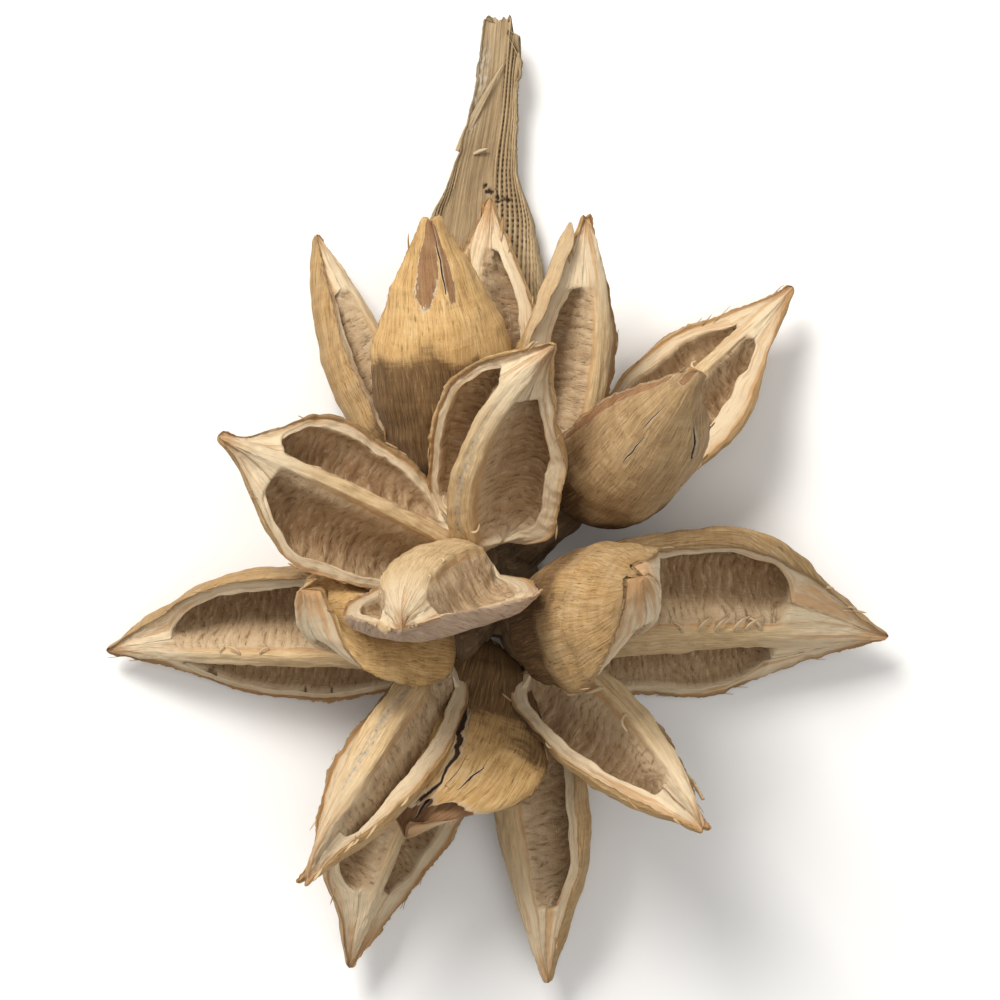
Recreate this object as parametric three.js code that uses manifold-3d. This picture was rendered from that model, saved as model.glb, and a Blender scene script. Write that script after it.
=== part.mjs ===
// Star pod: a dried fruit cluster of a traveller's-palm-like plant, lying on its back.
// Six woody pods stand on short stalks round a knobbly rachis, and each pod has split into three
// boat-shaped valves. A valve carries a partition, the keel, down the middle of its hollow side,
// so it shows two seed chambers. One fibrous spathe, a canoe-shaped bract, rises behind the cluster.
// Millimetres, +Z up from the surface it lies on, +Y towards the spathe's tip.
import * as THREE from "three";
import { mergeVertices } from "three/addons/utils/BufferGeometryUtils.js";
import Module from "manifold-3d";

// Driving dimensions
const settle = [1.05, -0.1, -11.0]; // sets the whole cluster's box on the surface, over the origin
const clearance = 0.35; // air between neighbouring pieces
const rimWidth = 5.0; // pale cut edge of a valve
const wallThickness = 4.2; // pod wall behind the seed chambers
const wallLeast = 2.4; // pod wall beside the rim
const wallArc = 80; // half angle of the wall's arc, in degrees
const axisGap = 6.5; // from a pod's own axis to the rim plane at a valve's foot
const keelFoot = 6; // keel height at a valve's foot
const tipDepth = 1.8; // wall depth left at a valve's point

// Shares of a valve's length
const footRound = 0.13; // stretch that rounds off the foot
const keelRise = 0.4; // stretch over which the keel reaches its full height
const keelThin = 0.5; // stretch before the tip over which the keel thins
const turnLength = 0.5; // stretch over which a margin turns outwards
const chamberStart = 0.07; // where the seed chambers begin and end
const chamberEnd = 0.8;

// Shares of a valve's widest section
const footEnd = 0.25; // width left at the very foot
const footDepth = 0.6; // wall depth just above the foot
const rimInsideLeast = 0.62; // where the rim's inner edge stays on a narrow section

// Roundness of curves: 1 is a sine or a circle
const depthFullness = 0.85; // how the wall's depth runs out to the tip
const chamberCorner = 2.4; // superellipse power of a seed chamber's outline
const chamberFloor = 0.6; // under 1 flattens the floor of a seed chamber

const valveDefaults = {
  left: 19, // half-widths at the widest section, seen from the hollow side with the tip up
  right: 19,
  depth: 14, // pod wall behind the rim plane
  keel: 9, // keel in front of the rim plane
  keelWide: 5, // the keel's free edge
  roll: 0, // degrees about the valve's length
  bow: 0, // middle of the valve pushed towards its hollow side
  sway: 0, // middle of the valve pushed to its right
  curl: 0, // tip rolled back, away from the hollow side
  curlStart: 0.55, // where a rolled-back tip leaves the valve's line, as a share of the length
  turnOut: 0, // margins turned away from the hollow side
  turnFrom: 0.45, // where they begin to turn, as a share of the length
  tipWidth: 1.8, // half-width left at the point
  widest: 0.42, // where the widest section is, as a share of the length
  beak: 1.25, // over 1 draws the tip out to a beak
  foot: 0.6, // half-width just above the foot, as a share of the widest
};

// Each pod: the middle of its foot, and its three valves by their tips
const pods = {
  front_pod: {
    base: [-9.8, -14.9, 60],
    valves: {
      upper: {
        tip: [14.7, 42.0, 114], left: 18, right: 25, depth: 13, roll: 24, sway: -8, foot: 0.9,
        keel: 15, keelWide: 6.5,
      },
      left: {
        tip: [-77.8, 17.7, 98], left: 24, right: 20, widest: 0.55, beak: 1.6, tipWidth: 2.2,
        keel: 11, keelWide: 3.4,
      },
      lower: {
        tip: [-26.0, -34.5, 138], left: 33, right: 21, depth: 9, roll: -8, bow: -1, sway: 6,
        keel: 12, keelWide: 15,
      },
    },
  },
  lower_right_pod: {
    base: [12.0, -41.0, 45],
    valves: {
      front: {
        tip: [40.0, -21.0, 122], left: 21, right: 24, depth: 23, bow: 4, beak: 0.75,
        curl: 16, curlStart: 0.5, turnOut: 6, turnFrom: 0.25, tipWidth: 3,
      },
      lower: {
        tip: [58.3, -93.4, 85], left: 12, right: 20, roll: 42, sway: -3, foot: 0.85, keel: 15, keelWide: 6,
      },
      side: {
        tip: [115.1, -40.6, 24], left: 34, right: 32, depth: 17, roll: 33, sway: -5, foot: 0.92,
        keel: 6, keelWide: 9,
      },
    },
  },
  left_pod: {
    base: [-17.0, -43.0, 47],
    valves: {
      front: {
        tip: [-56.2, -25.4, 97], left: 22, right: 22, depth: 14, bow: 3, beak: 0.8,
        curl: 18, curlStart: 0.5, turnOut: 7, turnFrom: 0.1, tipWidth: 3,
      },
      lower: {
        tip: [-55.8, -107.6, 94], left: 15, right: 14, roll: -57, widest: 0.36, beak: 1.5,
        keel: 14, keelWide: 9.5,
      },
      side: { tip: [-117.2, -45.0, 19.3], left: 27, right: 28, depth: 19, roll: -30, sway: 3 },
    },
  },
  right_pod: {
    base: [21.9, 2.9, 42],
    valves: {
      front: {
        tip: [54.5, 35.5, 105], left: 20, right: 17, depth: 18, foot: 0.9, beak: 1.05, tipWidth: 3,
      },
      inner: { tip: [24.9, 83.5, 50], left: 25, right: 12, roll: -22, bow: 3, sway: 3, keel: 8 },
      outer: { tip: [86.8, 63.1, 26], left: 20, right: 21, keel: 5, keelWide: 3.6 },
    },
  },
  upper_pod: {
    base: [-14.6, 5.9, 40],
    valves: {
      front: { tip: [-19.6, 81.0, 72], left: 20, right: 21, depth: 17, beak: 1, tipWidth: 3.2 },
      left: { tip: [-54.2, 78.5, 27], left: 15, right: 15, roll: 8, bow: -2, keelWide: 4 },
      back: { tip: [-3.0, 89.0, 31], left: 20, right: 21, roll: 22, beak: 1.1 },
    },
  },
  lower_pod: {
    base: [-1.0, -43.0, 34],
    valves: {
      front: {
        tip: [-26.9, -97.0, 63], left: 20, right: 33, depth: 16, foot: 0.3, widest: 0.6, bow: 7,
        beak: 0.9, turnOut: 6, turnFrom: 0.2, tipWidth: 2.5,
      },
      left: {
        tip: [-44.6, -138.5, 26], left: 26, right: 27, sway: 5, widest: 0.52, keel: 5, keelWide: 3.6,
      },
      right: {
        tip: [14.3, -143.0, 26], left: 25, right: 14, sway: 1, roll: -9, widest: 0.5, keel: 10, keelWide: 11,
      },
    },
  },
};

// The spathe's trough, from its foot behind the cluster to its tip:
// middle of the trough's bottom, half-width, height of its sides
const spathe = [
  { at: [-4.0, -12.0, 16], halfWidth: 13, sides: 9 },
  { at: [-6.0, 8.0, 14], halfWidth: 19, sides: 9 },
  { at: [-8.0, 32.0, 13], halfWidth: 24, sides: 8 },
  { at: [-9.0, 58.0, 13], halfWidth: 23, sides: 6.5 },
  { at: [-6.2, 80.0, 15], halfWidth: 17, sides: 6.5 },
  { at: [-4.6, 98.0, 17], halfWidth: 11, sides: 6.5 },
  { at: [-1.8, 120.0, 19], halfWidth: 7.8, sides: 5 },
  { at: [-0.4, 143.3, 22], halfWidth: 5, sides: 3 },
];
const spatheThickness = 2.4;
const spatheArc = 72; // half angle of the trough, in degrees

// The rachis, from its cut back end to the foot of the front pod: middle and radius
const rachis = [
  { at: [-2.0, -24.0, 15], radius: 12 },
  { at: [-1.5, -24.0, 20], radius: 13.5 },
  { at: [-1.0, -24.0, 30], radius: 13 },
  { at: [-2.0, -23.0, 38], radius: 11 },
  { at: [-3.5, -21.5, 44], radius: 7 },
];
const stalkRadius = 5.2; // a pod's stalk in the middle
const stalkFlare = 9; // the stalk's cup under the pod's foot
const stalkShort = 3; // from the cup to the pod's foot
const stalkCup = 0.6; // share of the stalk where the cup begins
const stalkTurn = 0.4; // how far back the stalk already follows the pod's axis

// Mesh fineness
const lengthSteps = 12; // sections from foot to tip
const arcSteps = 6; // wall, from rim to rim
const chamberSteps = 4; // one seed chamber, from rim to keel
const spatheSteps = 16; // spathe, from foot to tip
const stalkSteps = 6; // stalks and rachis, from end to end
const roundSteps = 14; // round a stalk or the rachis

const wasm = await Module();
wasm.setup();

const vector = (xyz) => new THREE.Vector3(...xyz);
const radians = THREE.MathUtils.degToRad;
const blend = THREE.MathUtils.lerp;

// A quarter circle's rise from 0 at the start to 1 at the end of a stretch
function roundedRise(share) {
  const left = 1 - Math.min(1, Math.max(0, share));
  return Math.sqrt(Math.max(0, 1 - left * left));
}

// Share of the full width or depth at a point along a valve
function taper(s, foot, widest, beak) {
  const body =
    s < widest
      ? foot + (1 - foot) * Math.sin((Math.PI / 2) * (s / widest))
      : Math.cos((Math.PI / 2) * ((s - widest) / (1 - widest))) ** beak;
  return body * blend(footEnd, 1, roundedRise(s / footRound));
}

// How open the seed chambers are at a point along a valve, from 0 to 1
function chamberOpening(s) {
  const middle = (chamberStart + chamberEnd) / 2;
  const reach = Math.abs(s - middle) / (chamberEnd - middle);
  return reach < 1 ? (1 - reach ** chamberCorner) ** (1 / chamberCorner) : 0;
}

// How far the outer wall lies behind the rim plane, at a distance across from a section's middle
function wallDrop(across, halfWidth, depth) {
  const arcEnd = radians(wallArc);
  const angle = Math.asin(Math.min(1, across / halfWidth) * Math.sin(arcEnd));
  return depth * ((Math.cos(angle) - Math.cos(arcEnd)) / (1 - Math.cos(arcEnd)));
}

// Half of a section, from the rim's outer corner to the keel's edge: [across, towards the hollow side]
function hollowSide(s, halfWidth, depth, keel, keelHalf) {
  const opening = chamberOpening(s);
  const rimInside = Math.max(halfWidth * rimInsideLeast, halfWidth - rimWidth);
  const keelSide = Math.min(keelHalf, rimInside * 0.5);
  const middle = (rimInside + keelSide) / 2;
  const reach = (rimInside - keelSide) / 2;
  const outerEdge = middle + reach * blend(0.5, 1, opening);
  const innerEdge = middle - reach * blend(0.5, 1, opening);
  const chamberDepth = Math.max(0, depth - wallThickness) * Math.sqrt(opening);
  const points = [[outerEdge, 0]];
  for (let i = 1; i < chamberSteps; i += 1) {
    const share = i / chamberSteps;
    const slope = keel * share;
    const across = blend(outerEdge, innerEdge, (1 - Math.cos(Math.PI * share)) / 2);
    const room = Math.max(0, wallDrop(across, halfWidth, depth) - wallLeast);
    const drop = Math.min(room, chamberDepth * Math.sin(Math.PI * share) ** chamberFloor);
    points.push([across, slope * (1 - opening) - drop]);
  }
  points.push([keelSide, keel]);
  return points;
}

// A valve's own directions: along it, across it and towards its hollow side
function valveFrame(base, spec, podAxis) {
  const tip = vector(spec.tip);
  const along = tip.clone().sub(base).normalize();
  const hollow = podAxis.clone().addScaledVector(along, -podAxis.dot(along)).normalize();
  hollow.applyAxisAngle(along, radians(spec.roll));
  return { tip, along, hollow, across: along.clone().cross(hollow) };
}

// One closed section of a valve, as points in space
function valveRing(foot, frame, spec, s) {
  const { tip, hollow, across } = frame;
  const bend = hollow.clone().multiplyScalar(spec.bow).addScaledVector(across, spec.sway);
  const straightTip = tip.clone().addScaledVector(hollow, spec.curl);
  const rolled = Math.max(0, s - spec.curlStart) / (1 - spec.curlStart);
  const centre = foot.clone().lerp(straightTip, s).addScaledVector(bend, 4 * s * (1 - s));
  centre.addScaledVector(hollow, -spec.curl * rolled ** 2);
  const along = straightTip.sub(foot).addScaledVector(bend, 4 * (1 - 2 * s));
  along.addScaledVector(hollow, (-2 * spec.curl * rolled) / (1 - spec.curlStart)).normalize();
  const inward = hollow.clone().addScaledVector(along, -hollow.dot(along)).normalize();
  const sideways = along.clone().cross(inward);
  const width = taper(s, spec.foot, spec.widest, spec.beak);
  const depth = Math.max(tipDepth, spec.depth * taper(s, footDepth, spec.widest, depthFullness));
  const keelStart = Math.min(keelFoot, spec.keel);
  const keel = blend(keelStart, spec.keel, roundedRise(s / keelRise)) * (1 - s ** 3);
  const keelHalf = (spec.keelWide / 2) * blend(0.35, 1, roundedRise((1 - s) / keelThin));
  const right = Math.max(spec.tipWidth, spec.right * width);
  const left = Math.max(spec.tipWidth, spec.left * width);

  const outline = [];
  const arcEnd = radians(wallArc);
  for (let i = 0; i <= arcSteps; i += 1) {
    const angle = blend(arcEnd, -arcEnd, i / arcSteps);
    const halfWidth = angle > 0 ? right : left;
    const side = halfWidth * (Math.sin(angle) / Math.sin(arcEnd));
    outline.push([side, -wallDrop(Math.abs(side), halfWidth, depth)]);
  }
  const leftHollow = hollowSide(s, left, depth, keel, keelHalf);
  const rightHollow = hollowSide(s, right, depth, keel, keelHalf).reverse();
  outline.push(...leftHollow.map(([x, y]) => [-x, y]), ...rightHollow);
  const turned = spec.turnOut * THREE.MathUtils.smoothstep(s, spec.turnFrom, spec.turnFrom + turnLength);
  return outline.map(([x, y]) => {
    const sideShare = Math.abs(x) / (x > 0 ? right : left);
    const height = y - turned * sideShare ** 2;
    return centre.clone().addScaledVector(sideways, x).addScaledVector(inward, height);
  });
}

// A closed solid through rings of points, with a flat fan at each end
function loft(rings) {
  const count = rings[0].length;
  const middle = (ring) =>
    ring.reduce((sum, p) => sum.add(p), new THREE.Vector3()).divideScalar(count);
  const points = [...rings.flat(), middle(rings[0]), middle(rings.at(-1))];
  const [startCap, endCap] = [points.length - 2, points.length - 1];
  const lastRing = (rings.length - 1) * count;
  const index = [];
  for (let i = 0; i < count; i += 1) {
    const next = (i + 1) % count;
    index.push(startCap, next, i, endCap, lastRing + i, lastRing + next);
    for (let r = 0; r < rings.length - 1; r += 1) {
      const [a, b] = [r * count + i, r * count + next];
      index.push(a, b, b + count, a, b + count, a + count);
    }
  }
  return new THREE.BufferGeometry().setFromPoints(points).setIndex(index);
}

function valve(base, spec, podAxis) {
  const full = { ...valveDefaults, ...spec };
  const frame = valveFrame(base, full, podAxis);
  const outward = frame.along.clone().addScaledVector(podAxis, -frame.along.dot(podAxis)).normalize();
  const foot = base.clone().addScaledVector(outward, axisGap);
  const rings = [];
  for (let i = 0; i <= lengthSteps; i += 1) {
    rings.push(valveRing(foot, frame, full, i / lengthSteps));
  }
  return loft(rings);
}

// The pod's axis is the mean direction of its three valves
function podAxis(pod) {
  const sum = new THREE.Vector3();
  for (const { tip } of Object.values(pod.valves)) {
    sum.add(vector(tip).sub(vector(pod.base)).normalize());
  }
  return sum.normalize();
}

// A smooth run of values through a list of stations
function through(stations, pick, share) {
  return new THREE.CatmullRomCurve3(stations.map(pick)).getPoint(share);
}

function spatheRing(share) {
  const bottom = through(spathe, ({ at }) => vector(at), share);
  const size = through(spathe, (one) => new THREE.Vector3(one.halfWidth, one.sides, 0), share);
  const arcEnd = radians(spatheArc);
  const arc = (halfWidth, sides, lift) =>
    Array.from({ length: arcSteps + 1 }, (_, i) => {
      const angle = blend(arcEnd, -arcEnd, i / arcSteps);
      const rise = (1 - Math.cos(angle)) / (1 - Math.cos(arcEnd));
      const across = halfWidth * (Math.sin(angle) / Math.sin(arcEnd));
      return bottom.clone().add(new THREE.Vector3(across, 0, lift + sides * rise));
    });
  const inside = arc(size.x - spatheThickness, size.y - spatheThickness / 2, spatheThickness);
  return [...arc(size.x, size.y, 0), ...inside.reverse()];
}

// A round stem along a curve, square to it at every ring
function stem(curve, radiusAt) {
  const rings = [];
  for (let i = 0; i <= stalkSteps; i += 1) {
    const share = i / stalkSteps;
    const centre = curve.getPoint(share);
    const along = curve.getTangent(share);
    const aside = new THREE.Vector3(0.3, 0.5, 0.81).cross(along).normalize();
    const third = along.clone().cross(aside);
    rings.push(
      Array.from({ length: roundSteps }, (_, j) => {
        const angle = (2 * Math.PI * j) / roundSteps;
        const out = aside.clone().multiplyScalar(Math.cos(angle)).addScaledVector(third, Math.sin(angle));
        return centre.clone().addScaledVector(out, radiusAt(share));
      }),
    );
  }
  return loft(rings);
}

function rachisStem() {
  const curve = new THREE.CatmullRomCurve3(rachis.map(({ at }) => vector(at)));
  return stem(curve, (share) => through(rachis, ({ radius }) => vector([radius, 0, 0]), share).x);
}

// A stalk leaves the middle of the rachis and turns into the pod's own axis
function stalk(base, axis) {
  const middle = vector(rachis[2].at);
  const end = base.clone().addScaledVector(axis, -stalkShort);
  const turn = end.clone().addScaledVector(axis, -stalkTurn * end.distanceTo(middle));
  const curve = new THREE.QuadraticBezierCurve3(middle, turn, end);
  const cup = (share) => Math.max(0, share - stalkCup) / (1 - stalkCup);
  return stem(curve, (share) => blend(stalkRadius, stalkFlare, cup(share)));
}

// A geometry as a solid that can be cut, optionally swollen by the clearance
function solid(geometry, swell = 0) {
  const bare = new THREE.BufferGeometry();
  bare.setAttribute("position", geometry.getAttribute("position").clone());
  if (geometry.index) bare.setIndex(geometry.index.clone());
  const merged = mergeVertices(bare, 1e-3);
  if (swell) {
    merged.computeVertexNormals();
    const { position, normal } = merged.attributes;
    for (let i = 0; i < position.array.length; i += 1) position.array[i] += swell * normal.array[i];
  }
  const vertProperties = merged.attributes.position.array;
  const triVerts = new Uint32Array(merged.index.array);
  return new wasm.Manifold(new wasm.Mesh({ numProp: 3, vertProperties, triVerts }));
}

function geometryOf(cut) {
  const { vertProperties, triVerts } = cut.getMesh();
  const geometry = new THREE.BufferGeometry();
  geometry.setAttribute("position", new THREE.BufferAttribute(vertProperties, 3));
  return geometry.setIndex(new THREE.BufferAttribute(triVerts, 1));
}

// Pieces placed so far, each swollen by the clearance so that later ones stop short of it
const placed = [];
const starPod = new THREE.Group();

function place(name, geometry, material) {
  let whole = solid(geometry);
  for (const earlier of placed) whole = whole.subtract(earlier);
  const largest = whole.decompose().sort((a, b) => b.volume() - a.volume())[0];
  placed.push(solid(geometry, clearance).add(solid(geometry)));
  const mesh = new THREE.Mesh(geometryOf(largest).translate(...settle), material);
  mesh.name = name;
  starPod.add(mesh);
}

const husk = new THREE.MeshStandardMaterial({ color: 0xc2a274, roughness: 0.75, metalness: 0 });
const bark = new THREE.MeshStandardMaterial({ color: 0x8a6a45, roughness: 0.85, metalness: 0 });
const fibre = new THREE.MeshStandardMaterial({ color: 0xab9268, roughness: 0.8, metalness: 0 });

for (const [podName, pod] of Object.entries(pods)) {
  for (const [valveName, spec] of Object.entries(pod.valves)) {
    place(`${podName}_${valveName}_valve`, valve(vector(pod.base), spec, podAxis(pod)), husk);
  }
}
place("rachis", rachisStem(), bark);
for (const [podName, pod] of Object.entries(pods)) {
  place(`${podName}_stalk`, stalk(vector(pod.base), podAxis(pod)), bark);
}
const spatheRings = Array.from({ length: spatheSteps + 1 }, (_, i) => spatheRing(i / spatheSteps));
place("spathe", loft(spatheRings), fibre);

export default starPod;
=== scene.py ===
import math

import bpy
import numpy as np
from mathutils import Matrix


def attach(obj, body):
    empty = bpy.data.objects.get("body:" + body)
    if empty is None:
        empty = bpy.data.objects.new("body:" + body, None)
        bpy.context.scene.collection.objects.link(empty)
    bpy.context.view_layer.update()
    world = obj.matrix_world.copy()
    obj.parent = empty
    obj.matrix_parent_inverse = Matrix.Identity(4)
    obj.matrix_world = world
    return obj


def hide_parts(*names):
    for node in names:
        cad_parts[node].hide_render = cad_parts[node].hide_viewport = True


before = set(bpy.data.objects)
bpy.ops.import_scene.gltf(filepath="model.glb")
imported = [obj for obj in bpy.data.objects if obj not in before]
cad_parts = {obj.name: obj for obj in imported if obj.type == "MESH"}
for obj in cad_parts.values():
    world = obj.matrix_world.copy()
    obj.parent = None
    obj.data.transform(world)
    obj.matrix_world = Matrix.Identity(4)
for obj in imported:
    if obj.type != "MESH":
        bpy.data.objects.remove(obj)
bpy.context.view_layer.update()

print("stage 1: frame loaded,", len(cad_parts), "solids")

# Lengths are millimetres in the same layout as the solids; meshes are made in metres
settle = np.array([1.05, -0.1, -11.0])
metre = 0.001


# Small helpers for curves and seeded noise
def unit(vectors):
    return vectors / np.maximum(np.linalg.norm(vectors, axis=-1, keepdims=True), 1e-9)


def smooth(value, low, high):
    share = np.clip((value - low) / (high - low), 0, 1)
    return share * share * (3 - 2 * share)


def roundedRise(share):
    left = 1 - np.clip(share, 0, 1)
    return np.sqrt(np.maximum(0, 1 - left * left))


def bell(value, width):
    return np.exp(-((value / width) ** 2))


def blend(low, high, share):
    return low + (high - low) * share


def speckle(u, v, seed):  # smooth lattice noise from -1 to 1
    grid = np.random.default_rng(seed).uniform(-1, 1, (97, 97))
    iu = np.floor(u).astype(int)
    iv = np.floor(v).astype(int)
    fu = u - iu
    fv = v - iv
    fu = fu * fu * (3 - 2 * fu)
    fv = fv * fv * (3 - 2 * fv)
    near = blend(grid[iu % 97, iv % 97], grid[(iu + 1) % 97, iv % 97], fu)
    far = blend(grid[iu % 97, (iv + 1) % 97], grid[(iu + 1) % 97, (iv + 1) % 97], fu)
    return blend(near, far, fv)


def layered(u, v, seed, layers=3):
    total = 0
    for layer in range(layers):
        total = total + speckle(u * 2 ** layer, v * 2 ** layer, seed + 11 * layer) * 0.55 ** layer
    return total


def runAlong(path):  # distance along a path, point by point
    return np.concatenate([[0], np.cumsum(np.linalg.norm(np.diff(path, axis=0), axis=1))])


def outward(points):  # directions out of a patch
    acrossStep = np.roll(points, -1, 1) - np.roll(points, 1, 1)
    return unit(np.cross(acrossStep, np.gradient(points, axis=0)))


def turned(vector, axis, degrees):
    angle = math.radians(degrees)
    return (
        vector * math.cos(angle)
        + np.cross(axis, vector) * math.sin(angle)
        + axis * np.dot(axis, vector) * (1 - math.cos(angle))
    )


def bent(three, t):  # curve from the first point to the last, drawn to the middle one
    first, middle, last = [np.array(point) for point in three]
    return first * (1 - t) ** 2 + middle * 2 * t * (1 - t) + last * t**2


def throughStations(stations, shares):  # Catmull-Rom run through a list of values
    points = np.asarray(stations, float)
    ends = np.vstack([2 * points[0] - points[1], points, 2 * points[-1] - points[-2]])
    place = np.clip(shares, 0, 1) * (len(points) - 1)
    index = np.minimum(place.astype(int), len(points) - 2)
    t = (place - index)[:, None]
    a, b, c, d = (ends[index + k] for k in range(4))
    curve = 2 * b + (c - a) * t + (2 * a - 5 * b + 4 * c - d) * t**2 + (3 * b - a - 3 * c + d) * t**3
    return 0.5 * curve


# Mesh making: a patch is a grid of points, ring by ring, with values for the material
def patch(points, grain, zones, marks, scars):
    return {"points": points, "grain": grain, "zones": zones, "marks": marks, "scars": scars}


def even(points, *values):
    return np.broadcast_to(np.array(values, float), points.shape[:2] + (len(values),))


def makePiece(name, patches, material, node):
    allPoints, allFaces, values = [], [], {"grain": [], "zones": [], "marks": [], "scars": []}
    start = 0
    for one in patches:
        rings, columns = one["points"].shape[:2]
        count = rings * columns
        first = one["points"][0].mean(axis=0)
        last = one["points"][-1].mean(axis=0)
        allPoints.append(np.vstack([one["points"].reshape(-1, 3), first, last]))
        for key in values:
            flat = one[key].reshape(count, -1)
            values[key].append(np.vstack([flat, flat[:1], flat[-1:]]))
        i = np.arange(columns)
        j = (i + 1) % columns
        row = np.arange(rings - 1)[:, None] * columns
        quads = np.stack([row + i, row + j, row + columns + j, row + columns + i], axis=-1).reshape(-1, 4)
        foot = np.stack([np.full(columns, count), j, i], axis=-1)
        tip = np.stack([np.full(columns, count + 1), count - columns + i, count - columns + j], axis=-1)
        allFaces.append((quads + start, np.vstack([foot, tip]) + start))
        start += count + 2
    points = (np.vstack(allPoints) + settle) * metre
    quads = np.vstack([faces[0] for faces in allFaces])
    fans = np.vstack([faces[1] for faces in allFaces])
    mesh = bpy.data.meshes.new(name)
    mesh.vertices.add(len(points))
    mesh.vertices.foreach_set("co", points.ravel())
    mesh.loops.add(quads.size + fans.size)
    mesh.loops.foreach_set("vertex_index", np.concatenate([quads.ravel(), fans.ravel()]).astype(np.int32))
    starts = np.concatenate([np.arange(len(quads)) * 4, quads.size + np.arange(len(fans)) * 3])
    totals = np.concatenate([np.full(len(quads), 4), np.full(len(fans), 3)])
    mesh.polygons.add(len(starts))
    mesh.polygons.foreach_set("loop_start", starts.astype(np.int32))
    mesh.polygons.foreach_set("loop_total", totals.astype(np.int32))
    mesh.polygons.foreach_set("use_smooth", np.ones(len(starts), bool))
    for key, parts in values.items():
        kind, field = ("FLOAT_VECTOR", "vector") if key == "grain" else ("FLOAT_COLOR", "color")
        layer = mesh.attributes.new(key, kind, "POINT")
        layer.data.foreach_set(field, np.vstack(parts).astype(np.float32).ravel())
    mesh.update(calc_edges=True)
    mesh.materials.append(material)
    piece = bpy.data.objects.new(name, mesh)
    bpy.context.scene.collection.objects.link(piece)
    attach(piece, "root")
    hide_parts(node)


# A thin strand or strip along a path, closed all round, with its zones, marks and scars as a finish
def strand(path, wide, thick, facing, finish, seed, sides=8):
    path = np.asarray(path, float)
    along = unit(np.gradient(path, axis=0))
    over = np.broadcast_to(np.asarray(facing, float), path.shape)
    aside = unit(np.cross(along, over))
    over = np.cross(aside, along)
    angle = np.linspace(0, 2 * np.pi, sides, endpoint=False)
    wide = np.asarray(wide, float)[:, None, None]
    thick = np.asarray(thick, float)[:, None, None]
    round1 = np.cos(angle)[None, :, None] * aside[:, None, :] * wide
    round2 = np.sin(angle)[None, :, None] * over[:, None, :] * thick
    points = path[:, None, :] + round1 - round2
    u = np.cos(angle)[None, :] * wide[..., 0]
    v = np.broadcast_to(runAlong(path)[:, None], u.shape)
    grain = np.stack([u, v, np.full_like(u, seed * 7.3)], axis=-1)
    return patch(points, grain, *[even(points, *values) for values in finish])


# Shader helpers
def shader(name):
    material = bpy.data.materials.new(name)
    material.use_nodes = True
    tree = material.node_tree
    tree.nodes.clear()
    out = tree.nodes.new("ShaderNodeOutputMaterial")
    surface = tree.nodes.new("ShaderNodeBsdfPrincipled")
    tree.links.new(surface.outputs["BSDF"], out.inputs["Surface"])
    return material, tree, surface


def put(tree, kind, inputs, **settings):
    made = tree.nodes.new(kind)
    for key, value in settings.items():
        setattr(made, key, value)
    for key, value in inputs.items():
        if isinstance(value, bpy.types.NodeSocket):
            tree.links.new(value, made.inputs[key])
        else:
            made.inputs[key].default_value = value
    return made


def stretched(tree, vector, scale):
    return put(tree, "ShaderNodeMapping", {"Vector": vector, "Scale": scale}).outputs["Vector"]


def noiseOf(tree, vector, scale, detail=4.0, rough=0.55, warp=0.0):
    inputs = {"Vector": stretched(tree, vector, scale), "Scale": 1.0, "Detail": detail}
    inputs.update({"Roughness": rough, "Distortion": warp})
    return put(tree, "ShaderNodeTexNoise", inputs).outputs[0]


def rangeOf(tree, value, low, high, toLow=0.0, toHigh=1.0):
    inputs = {"Value": value, "From Min": low, "From Max": high, "To Min": toLow, "To Max": toHigh}
    return put(tree, "ShaderNodeMapRange", inputs, interpolation_type="SMOOTHSTEP").outputs["Result"]


def mixOf(tree, share, first, second):
    return put(tree, "ShaderNodeMix", {0: share, 6: first, 7: second}, data_type="RGBA").outputs[2]


def coatsOf(tree, colour, *coats):  # each coat is a share and the colour laid over
    for share, coat in coats:
        colour = mixOf(tree, share, colour, coat)
    return colour


def mathOf(tree, way, first, second):
    return put(tree, "ShaderNodeMath", {0: first, 1: second}, operation=way).outputs[0]


def sumOf(tree, *parts):  # each part is a value and its weight
    total = mathOf(tree, "MULTIPLY", *parts[0])
    for value, weight in parts[1:]:
        total = mathOf(tree, "ADD", total, mathOf(tree, "MULTIPLY", value, weight))
    return total


def rampOf(tree, value, stops):
    made = put(tree, "ShaderNodeValToRGB", {"Fac": value})
    ramp = made.color_ramp
    while len(ramp.elements) < len(stops):
        ramp.elements.new(0.5)
    for element, (place, colour) in zip(ramp.elements, stops):
        element.position = place
        element.color = colour + (1.0,)
    return made.outputs["Color"]


def attribute(tree, name):
    made = put(tree, "ShaderNodeAttribute", {}, attribute_name=name)
    split = put(tree, "ShaderNodeSeparateColor", {"Color": made.outputs["Color"]})
    return made.outputs["Vector"], *split.outputs[:3], made.outputs["Alpha"]


def dress(tree, surface, tones, colour, height):  # colour, fine relief and sheen of a material
    inputs = {"Strength": tones["bump"], "Distance": metre, "Height": height}
    tree.links.new(put(tree, "ShaderNodeBump", inputs).outputs["Normal"], surface.inputs["Normal"])
    tree.links.new(colour, surface.inputs["Base Color"])
    surface.inputs["Roughness"].default_value = tones["rough"]
    surface.inputs["Specular IOR Level"].default_value = tones["shine"]


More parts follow.
